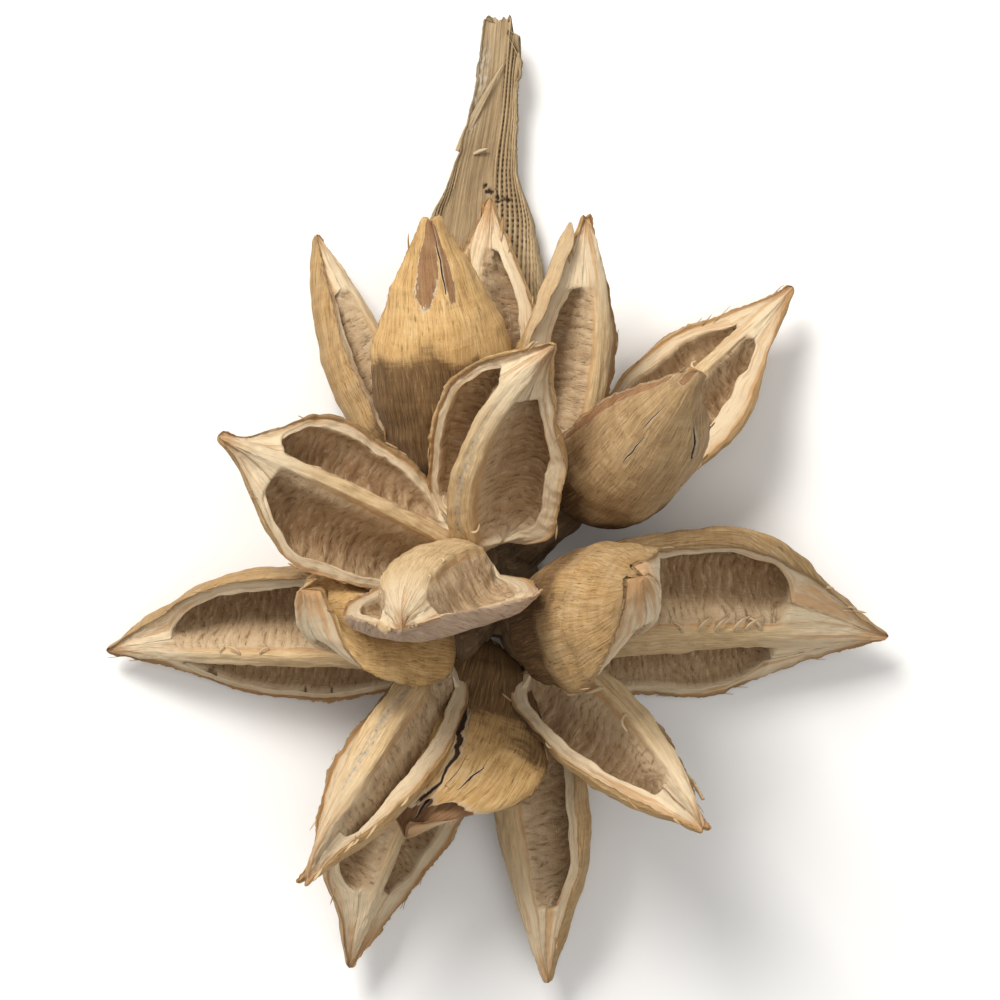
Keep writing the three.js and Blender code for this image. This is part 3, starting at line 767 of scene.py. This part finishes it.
    # Loose flakes of outer skin along the rims
    for _ in range(int(length / 9)):
        row = rng.integers(int(count * 0.12), int(count * 0.97))
        edge = 0 if rng.random() < 0.5 else form["skinColumns"] - 1
        outSide = sideways[row] * (1 if edge == 0 else -1)
        long = rng.uniform(3.0, 8.0)
        t = np.linspace(-0.5, 0.5, 9)[:, None]
        lift = rng.uniform(0.0, 0.5)
        path = points[row, edge] + run[row] * long * t + outSide * (0.1 + lift * (1 - 4 * t**2)) * 0.8
        path = path + inward[row] * rng.uniform(-0.5, 0.3) * (1 - 4 * t**2)
        wide = rng.uniform(0.2, 0.5) * np.sqrt(np.maximum(0.02, 1 - 4 * t[:, 0] ** 2))
        made.append(strand(path, wide, 0.08 + 0 * wide, inward[row] + 0.6 * outSide, flakeFinish, seed, 6))
    return made


# Pods: middle of the foot and three valves by their tips, with the looks of each valve
frontPod = {
    "base": (-9.8, -14.9, 60), "name": "front_pod",
    "upper": {
        "tip": (14.7, 42.0, 114), "left": 18, "right": 25, "depth": 13, "roll": 24, "sway": -8,
        "foot": 0.9, "keel": 15, "keelWide": 6.5, "keelFlare": 0.35, "rims": (2.8, 6.0), "groove": 0.7,
        "threads": ((0.14, 1, 2.4), (0.22, -1, 2.0)),
    },
    "left": {
        "tip": (-77.8, 17.7, 98), "left": 24, "right": 20, "widest": 0.55, "beak": 1.6, "keel": 11,
        "keelWide": 3.4, "tipWidth": 2.2, "keelFlare": 0.3, "rims": (3.6, 3.2), "bays": 8.5,
    },
    "lower": {
        "tip": (-26.0, -34.5, 138), "left": 33, "right": 21, "depth": 9, "roll": -8, "bow": -1,
        "sway": 6, "tone": 1.5, "stainAndShade": 0.0, "keel": 12, "keelWide": 15, "groove": 0.1,
        "rims": (6.5, 5.2),
        "threads": ((0.36, -1, 0.8), (0.43, -1, 1.3), (0.47, -1, 0.7), (0.54, -1, 1.5), (0.60, -1, 0.9)),
        "slivers": ((0.98, 0.80, 0.97, 1.2, 1.2),),
    },
}
lowerRightPod = {
    "base": (12.0, -41.0, 45), "name": "lower_right_pod",
    "front": {
        "tip": (40.0, -21.0, 122), "left": 21, "right": 24, "depth": 23, "keel": 3, "bow": 4, "curl": 16,
        "curlStart": 0.5, "beak": 0.75, "turnOut": 6, "turnFrom": 0.25, "tone": 0.5, "stainAndShade": 0.38,
        "tipWidth": 3.0,
    },
    "lower": {
        "tip": (58.3, -93.4, 85), "left": 12, "right": 20, "roll": 42, "sway": -3, "keel": 15,
        "foot": 0.85, "split": 3.0, "keelWide": 6.0, "keelFlare": 0.2,
        "threads": ((0.20, 1, 5.0), (0.25, 1, 3.6), (0.30, 1, 4.6), (0.35, 1, 4.4), (0.50, 1, 3.4)),
        "slivers": ((-0.97, 0.70, 0.86, 2.6, 1.6),),
    },
    "side": {
        "tip": (115.1, -40.6, 24), "left": 34, "right": 32, "depth": 17, "roll": 33, "sway": -5,
        "foot": 0.92, "tone": 0.6, "chamberEnd": 0.66, "keel": 6, "keelWide": 9, "fold": 8,
        "rims": (2.8, 3.4),
        "threads": ((0.36, -1, 3.0), (0.41, -1, 4.0), (0.46, -1, 4.2), (0.51, -1, 4.6), (0.55, -1, 4.2),
                    (0.59, -1, 4.0)),
        "cracks": ((-0.60, 0.06, -0.58, 0.50, 1.1),),
    },
}
leftPod = {
    "base": (-17.0, -43.0, 47), "name": "left_pod",
    "front": {
        "tip": (-56.2, -25.4, 97), "left": 22, "right": 22, "depth": 14, "keel": 3, "bow": 3, "curl": 18,
        "curlStart": 0.5, "beak": 0.8, "turnOut": 7, "turnFrom": 0.1, "tone": 0.0, "stainAndShade": -0.2,
        "tipWidth": 3.0,
    },
    "lower": {
        "tip": (-55.8, -107.6, 94), "left": 15, "right": 14, "roll": -57, "keel": 14, "widest": 0.36,
        "beak": 1.5, "split": 4.0, "keelWide": 9.5, "keelFlare": 0.2, "groove": 0.8,
    },
    "side": {
        "tip": (-117.2, -45.0, 19.3), "left": 27, "right": 28, "depth": 19, "roll": -30, "sway": 3,
        "tone": 0.55, "rims": (3.2, 5.2), "threads": ((0.5, 1, 2.2), (0.56, 1, 2.6), (0.62, 1, 2.0)),
    },
}
rightPod = {
    "base": (21.9, 2.9, 42), "name": "right_pod",
    "front": {
        "tip": (54.5, 35.5, 105), "left": 20, "right": 17, "depth": 18, "tone": 0.85, "stainAndShade": 0.25,
        "beak": 1.05, "tipWidth": 3.0, "foot": 0.9,
        "cracks": ((-0.62, 0.66, -0.60, 0.84, 0.9), (0.20, 0.58, 0.23, 0.72, 0.34),
                   (0.33, 0.74, 0.36, 0.86, 0.34)),
        "peels": ((0.93, 0.62, 2.0, 30.0), (0.5, 0.98, 9.0, 4.0)),
    },
    "inner": {
        "tip": (24.9, 83.5, 50), "left": 25, "right": 12, "roll": -22, "bow": 3, "sway": 3, "split": 2.0,
        "keel": 8, "keelWide": 5, "rims": (11.0, 4.0), "chamberEnd": 0.72,
        "slivers": ((-0.98, 0.45, 0.97, 4.6, 2.4),),
    },
    "outer": {
        "tip": (86.8, 63.1, 26), "left": 20, "right": 21, "keel": 5, "keelWide": 3.6, "rims": (4.6, 8.0),
        "threads": ((0.55, -1, 2.4), (0.4, 1, 2.2)),
    },
}
upperPod = {
    "base": (-14.6, 5.9, 40), "name": "upper_pod",
    "front": {
        "tip": (-19.6, 81.0, 72), "left": 20, "right": 21, "depth": 17, "tone": 0.05, "stainAndShade": 0.48,
        "fade": 0.2, "split": 2.5, "beak": 1.0, "tipWidth": 3.2,
        "peels": ((0.30, 0.88, 7.5, 17.0), (-0.10, 0.84, 3.4, 13.0), (0.1, 1.0, 8.0, 9.0)),
        "cracks": ((0.02, 0.74, 0.0, 1.02, 0.7),),
    },
    "left": {
        "tip": (-54.2, 78.5, 27), "left": 15, "right": 15, "roll": 8, "bow": -2, "tone": 0.45,
        "keelWide": 4.0,
    },
    "back": {
        "tip": (-3.0, 89.0, 31), "left": 20, "right": 21, "roll": 22, "rims": (5.2, 5.0),
        "chamberEnd": 0.81, "beak": 1.1,
    },
}
lowerPod = {
    "base": (-1.0, -43.0, 34), "name": "lower_pod",
    "front": {
        "tip": (-26.9, -97.0, 63), "left": 20, "right": 33, "depth": 16, "foot": 0.3, "widest": 0.6,
        "bow": 7, "tone": 0.15, "stainAndShade": 0.5, "beak": 0.9, "tipWidth": 2.5, "turnOut": 6,
        "turnFrom": 0.2, "sheets": ((-1.0, 1.0, 0.02, 0.90, 3.0, 0.06),),
        "peels": ((0.0, 0.98, 70.0, 16.0),),
        "cracks": ((0.12, 0.20, 0.27, 0.80, 0.8), (0.47, 0.66, 0.44, 0.80, 0.3),
                   (0.27, 0.78, 0.12, 0.94, 0.9)),
    },
    "left": {
        "tip": (-44.6, -138.5, 26), "left": 26, "right": 27, "sway": 5, "widest": 0.52, "keel": 5,
        "keelWide": 3.6, "tone": 0.5,
    },
    "right": {
        "tip": (14.3, -143.0, 26), "left": 25, "right": 14, "sway": 1, "roll": -9, "widest": 0.5,
        "tone": 0.5, "keel": 10, "keelWide": 11,
    },
}
pods = [frontPod, lowerRightPod, leftPod, rightPod, upperPod, lowerPod]
podAxes = {}
seed = 1000
for pod in pods:
    tips = {key: value for key, value in pod.items() if isinstance(value, dict)}
    base = np.array(pod["base"], float)
    podAxis = unit(sum(unit(np.array(one["tip"], float) - base) for one in tips.values()))
    podAxes[pod["name"]] = podAxis
    for key, spec in tips.items():
        seed += 397
        node = f"{pod['name']}_{key}_valve"
        patches = valvePatches(base, podAxis, {**valveDefaults, **spec}, seed)
        makePiece(node + "_look", patches, husk, node)
print("stage 3: valves made")

# Bark on the rachis and the stalks: dark, knobbly and fibrous
barkTones = {
    "bark": [(0.30, (0.085, 0.050, 0.025)), (0.50, (0.20, 0.125, 0.065)), (0.72, (0.38, 0.265, 0.150))],
    "rough": 0.88, "shine": 0.2, "bump": 0.9,
}


def barkMaterial():
    material, tree, surface = shader("bark_finish")
    grain = attribute(tree, "grain")[0]
    fibre = noiseOf(tree, grain, (1.1, 0.12, 1.0), 5.0, 0.62, 0.3)
    knots = noiseOf(tree, grain, (0.18, 0.2, 1.0), 4.0, 0.6, 0.6)
    shade = sumOf(tree, (fibre, 0.55), (knots, 0.45))
    dress(tree, surface, barkTones, rampOf(tree, shade, barkTones["bark"]), shade)
    return material


bark = barkMaterial()
rachisShape = {
    "at": [(-2.0, -24.0, 15), (-1.5, -24.0, 20), (-1.0, -24.0, 30), (-2.0, -23.0, 38), (-3.5, -21.5, 44)],
    "radius": [(12,), (13.5,), (13,), (11,), (7,)],
    "rings": 70, "columns": 110,
}
stalkShape = {"radius": 5.2, "flare": 9, "short": 3, "cup": 0.6, "turn": 0.4, "rings": 56, "columns": 64}


def stemPatch(path, radius, columns, seed):
    along = unit(np.gradient(path, axis=0))
    aside = unit(np.cross(np.array([0.3, 0.5, 0.81]), along))
    third = np.cross(along, aside)
    angle = np.linspace(0, 2 * np.pi, columns, endpoint=False)
    run = runAlong(path)[:, None]
    u = np.broadcast_to(angle[None, :] * radius.mean(), (len(path), columns))
    v = np.broadcast_to(run, u.shape)
    lobes = 0.05 * radius[:, None] * np.sin(5 * angle + 0.12 * run)
    lobes = lobes + 0.18 * np.sin(23 * angle + 2 * speckle(u / 4, v / 6, seed))
    rough = 0.45 * layered(u / 4, v / 5, seed + 1) + lobes
    spoke = angle[None, :, None]
    out = np.cos(spoke) * aside[:, None, :] + np.sin(spoke) * third[:, None, :]
    points = path[:, None, :] + out * (radius[:, None] - 0.5 + rough)[..., None]
    grain = np.stack([u, v, np.full_like(u, seed * 0.41)], axis=-1)
    blank = even(points, 0, 0, 0, 0)
    return patch(points, grain, blank, blank, blank)


t = np.linspace(0, 1, rachisShape["rings"])
path = throughStations(rachisShape["at"], t)
radius = throughStations(rachisShape["radius"], t)[:, 0]
makePiece("rachis_look", [stemPatch(path, radius, rachisShape["columns"], 4001)], bark, "rachis")
for number, pod in enumerate(pods):
    middle = np.array(rachisShape["at"][2], float)
    podAxis = podAxes[pod["name"]]
    end = np.array(pod["base"], float) - podAxis * stalkShape["short"]
    bendPoint = end - podAxis * stalkShape["turn"] * np.linalg.norm(end - middle)
    t = np.linspace(0, 1, stalkShape["rings"])[:, None]
    path = bent((middle, bendPoint, end), t)
    cup = np.maximum(0, t[:, 0] - stalkShape["cup"]) / (1 - stalkShape["cup"])
    radius = blend(stalkShape["radius"], stalkShape["flare"], cup)
    node = pod["name"] + "_stalk"
    stalk = stemPatch(path, radius, stalkShape["columns"], 4100 + 7 * number)
    makePiece(node + "_look", [stalk], bark, node)
print("stage 4: rachis and stalks made")

# Spathe: a fibrous trough with ribbed edges and rows of small holes
fibreTones = {
    "inside": [(0.34, (0.20, 0.136, 0.072)), (0.50, (0.38, 0.270, 0.148)), (0.66, (0.58, 0.445, 0.270))],
    "ribs": [(0.34, (0.28, 0.186, 0.092)), (0.50, (0.50, 0.370, 0.210)), (0.66, (0.70, 0.545, 0.335))],
    "weathered": (0.50, 0.425, 0.320, 1.0),
    # Painted shade in the troughs between the ribs
    "troughShade": (0.105, 0.068, 0.034, 1.0),
    # Near-black painted shade inside the holes and spots
    "hole": (0.028, 0.016, 0.008, 1.0),
    "rough": 0.78, "shine": 0.25, "bump": 0.8,
}


def fibreMaterial():
    material, tree, surface = shader("fibre_finish")
    grain = attribute(tree, "grain")[0]
    _, ribbed, hole, troughShade, worn = attribute(tree, "zones")
    fibre = noiseOf(tree, grain, (1.3, 0.03, 1.0), 5.0, 0.66, 0.1)
    blotch = noiseOf(tree, grain, (0.1, 0.03, 1.0), 4.0, 0.6, 0.3)
    flecks = noiseOf(tree, grain, (0.9, 0.5, 1.0), 4.0, 0.6)
    shade = sumOf(tree, (fibre, 0.6), (blotch, 0.4))
    colour = coatsOf(
        tree, rampOf(tree, shade, fibreTones["inside"]),
        (ribbed, rampOf(tree, shade, fibreTones["ribs"])),
        (mathOf(tree, "MULTIPLY", worn, rangeOf(tree, flecks, 0.40, 0.60)), fibreTones["weathered"]),
        # painted shade in the troughs between the ribs
        (mathOf(tree, "MULTIPLY", troughShade, 0.85), fibreTones["troughShade"]),
        # near-black painted shade inside the holes
        (hole, fibreTones["hole"]),
    )
    relief = mathOf(tree, "ADD", fibre, mathOf(tree, "MULTIPLY", flecks, 0.3))
    dress(tree, surface, fibreTones, colour, relief)
    return material


fibre = fibreMaterial()
spatheShape = {
    "at": [(-4.0, -12.0, 16), (-6.0, 8.0, 14), (-8.0, 32.0, 13), (-9.0, 58.0, 13), (-6.0, 80.0, 15),
           (-4.6, 98.0, 17), (-1.2, 120.0, 19), (1.0, 143.3, 22)],
    "size": [(13, 9), (19, 9), (24, 8), (23.6, 6.5), (17, 6.5), (10.2, 6.5), (6.9, 5), (5.9, 3)],
    "thickness": 2.4, "arc": math.radians(72), "rings": 330, "columns": 100,
    "edgeWave": 0.5, "edgeTear": 0.25,
    "ribGap": 1.45, "ribHeight": 0.27, "ribBack": 0.18, "holeGap": 1.5, "holeDepth": 0.45, "swell": 0.35,
    "spots": ((-3.0, 92.1, 1.5), (-0.6, 90.0, 1.3), (2.1, 89.8, 1.0), (-4.4, 93.8, 0.9)),
    "sliver": {
        "path": ((-12.4, 104.0, 19.6), (-8.0, 114.5, 22.0), (0.9, 129.6, 23.2)), "facing": (0.4, 0, 1),
        "wide": 1.15, "least": 0.12, "thick": 0.35, "taper": (0.66, 0.32), "seed": 9, "sides": 14,
        "finish": ((0.8, 0, 0, 0.3), (0, 0, 0, 0), (0, 0, 0, 0)),
    },
    "splinter": {
        "path": ((-7.9, 103.2, 19.7), (-5.8, 104.2, 20.4), (-3.7, 104.7, 20.9)), "facing": (0, 0, 1),
        "wide": 0.55, "least": 0.1, "thick": 0.3, "taper": (0.8, 0.15), "seed": 11, "sides": 10,
        "finish": ((1, 0, 0, 0.8), (0, 0, 0, 0), (0, 0, 0, 0)),
    },
}


def spathePatches(shape):
    t = np.linspace(0, 1, shape["rings"])[:, None]
    bottom = throughStations(shape["at"], t[:, 0])[:, None, :]
    size = throughStations(shape["size"], t[:, 0])
    halfWidth, sides = size[:, :1], size[:, 1:]
    run = runAlong(bottom[:, 0])[:, None]
    e = np.linspace(1, -1, shape["columns"])[None, :]
    angle = e * shape["arc"]
    edgeWave = shape["edgeWave"] * layered(run / 9, run * 0 + np.sign(e) * 3.3, 5001, 3)
    tears = np.maximum(0, layered(run / 2.2, run * 0 + np.sign(e) * 5.1, 5002, 3))
    edgeWave = edgeWave - shape["edgeTear"] * tears

    def arc(half, height, lift):
        rise = (1 - np.cos(angle)) / (1 - math.cos(shape["arc"]))
        rise = rise * (1 - 0.6 * smooth(np.abs(e), 0.1, 0.5) * smooth(t, 0.45, 0.6))
        x = (half + edgeWave * np.abs(e) ** 3) * np.sin(angle) / math.sin(shape["arc"])
        z = lift + height * rise
        return bottom + np.stack([x, 0 * x, z], axis=-1)

    outside = arc(halfWidth, sides, 0)
    thinner = smooth(t, 0.45, 0.7)
    thick = shape["thickness"] * (1 - 0.25 * thinner)
    inside = arc(halfWidth - thick * (0.75 - 0.45 * thinner), sides - thick * 0.1, thick)[:, ::-1]
    points = np.concatenate([outside, inside], axis=1)
    eAll = np.concatenate([e, e[:, ::-1]], axis=1)
    isInside = np.concatenate([0 * e, 0 * e + 1], axis=1)
    u = eAll * 20 * (0.3 + 0.7 * halfWidth / 24) + 0 * run
    v = run + 0 * u

    # Ribs with rows of holes down the right side and in the bulge at the left, a smooth band between; the
    # troughs between ribs are painted with shade
    drift = 0.05 * speckle(v / 14, u * 0, 5003)
    bulge = smooth(t, 0.52, 0.58) * (1 - smooth(t, 0.68, 0.74))
    ribbed = np.maximum(smooth(eAll + drift, 0.20, 0.30), smooth(-eAll + drift, 0.66, 0.76) * bulge)
    ribbed = np.maximum(ribbed, 1 - isInside)
    rib = np.cos(2 * np.pi * u / shape["ribGap"] + 0.7 * speckle(u / 5, v / 18, 5004))
    dotRow = np.cos(2 * np.pi * (v / shape["holeGap"] + 0.3 * speckle(u / 1.4, v / 4, 5005)))
    fresh = smooth(speckle(u / 3, v / 12, 5006), -0.75, -0.2) * smooth(t, 0.4, 0.6)
    # troughs between the ribs, painted with shade
    troughShade = ribbed * smooth(-rib, 0.1, 0.8) * smooth(1 - np.abs(eAll), 0.02, 0.06)
    # Holes in rows along the troughs and at the listed spots, painted near-black as shade inside them
    hole = troughShade * smooth(dotRow, -0.2, 0.4) * fresh * isInside
    for spotX, spotY, spotSize in shape["spots"]:
        away = np.hypot(points[..., 0] - spotX, points[..., 1] - spotY) / spotSize
        away = away + 0.5 * layered(u / 0.8, v / 0.8, 5010, 2)
        hole = np.maximum(hole, isInside * (1 - smooth(away, 0.5, 0.9)))
    worn = isInside * smooth(-eAll + drift, 0.25, 0.6)
    worn = worn * smooth(t, 0.76, 0.84) * (1 - smooth(t, 0.93, 0.98))
    relief = ribbed * (shape["ribBack"] + shape["ribHeight"] * isInside) * rib - shape["holeDepth"] * hole
    relief = relief + shape["swell"] * (2 * isInside - 1) * layered(u / 8, v / 26, 5007)
    relief = relief + (1 - ribbed) * 0.12 * speckle(u / 1.1, v / 30, 5008)
    relief = relief + worn * 0.4 * layered(u / 2, v / 3, 5011, 3)
    relief = relief * smooth(1 - np.abs(eAll), 0.0, 0.05)
    points = points + outward(points) * relief[..., None]

    # Torn end, lower in two steps towards the right
    steps = 5.5 * smooth(eAll, 0.30, 0.48) + 8.0 * smooth(eAll, 0.74, 0.84)
    cutBack = steps * smooth(t, 0.86, 1.0) + 0.8 * smooth(t, 0.97, 1) * layered(u / 1.3, v * 0, 5009, 2)
    points[..., 1] -= cutBack
    grain = np.stack([u + 40 * isInside, v, 0 * u + 3.3], axis=-1)
    zones = np.stack([ribbed + 0 * u, hole, troughShade, worn], axis=-1)
    blank = even(points, 0, 0, 0, 0)
    made = [patch(points, grain, zones, blank, blank)]

    # A long sliver torn from the left edge, and a pale splinter
    along = np.linspace(0, 1, 50)
    for torn in (shape["sliver"], shape["splinter"]):
        stretch, shift = torn["taper"]
        wide = torn["wide"] * np.sin(np.pi * np.clip(along * stretch + shift, 0, 1)) + torn["least"]
        thick = torn["thick"] + 0 * wide
        path = bent(torn["path"], along[:, None])
        made.append(strand(path, wide, thick, torn["facing"], torn["finish"], torn["seed"], torn["sides"]))
    return made


makePiece("spathe_look", spathePatches(spatheShape), fibre, "spathe")
print("stage 5: spathe made")

# Pale floor, soft light from the spathe's side and a camera straight above
floorLook = {"half": 3, "tone": (0.86, 0.86, 0.85, 1), "rough": 0.9}
keyLight = {"place": (-0.50, 0.95, 1.20), "size": 0.6, "power": 28, "colour": (1.0, 0.97, 0.93)}
fillLight = {"place": (0.35, -0.15, 1.9), "size": 1.2, "power": 10, "colour": (1.0, 0.98, 0.96)}
lightAim = (0, 0, 0.05)
worldStrength = 0.40
photoView = {"place": (1.05, -0.1, 1089.0), "lens": 130.32, "sensor": 36}

floorMesh = bpy.data.meshes.new("floor")
half = floorLook["half"]
corners = [(-half, -half, 0), (half, -half, 0), (half, half, 0), (-half, half, 0)]
floorMesh.from_pydata(corners, [], [(0, 1, 2, 3)])
floorMaterial, _, floorSurface = shader("floor_finish")
floorSurface.inputs["Base Color"].default_value = floorLook["tone"]
floorSurface.inputs["Roughness"].default_value = floorLook["rough"]
floorMesh.materials.append(floorMaterial)
floor = bpy.data.objects.new("floor", floorMesh)
bpy.context.scene.collection.objects.link(floor)


def softLight(name, values):
    data = bpy.data.lights.new(name, "AREA")
    data.size = values["size"]
    data.energy = values["power"]
    data.color = values["colour"]
    light = bpy.data.objects.new(name, data)
    light.location = values["place"]
    aim = np.array(lightAim) - np.array(values["place"])
    tilt = math.acos(-aim[2] / np.linalg.norm(aim))
    light.rotation_euler = (tilt, 0, math.atan2(aim[1], aim[0]) - math.pi / 2)
    bpy.context.scene.collection.objects.link(light)


softLight("key_light", keyLight)
softLight("fill_light", fillLight)
world = bpy.data.worlds.new("studio")
world.use_nodes = True
world.node_tree.nodes["Background"].inputs["Color"].default_value = (1, 1, 1, 1)
world.node_tree.nodes["Background"].inputs["Strength"].default_value = worldStrength
bpy.context.scene.world = world
bpy.context.scene.view_settings.view_transform = "Standard"

cameraData = bpy.data.cameras.new("photo_camera")
cameraData.lens = photoView["lens"]
cameraData.sensor_width = photoView["sensor"]
camera = bpy.data.objects.new("photo_camera", cameraData)
camera.location = [part * metre for part in photoView["place"]]
bpy.context.scene.collection.objects.link(camera)
bpy.context.scene.camera = camera

print("stage 6: stage, light and camera set")
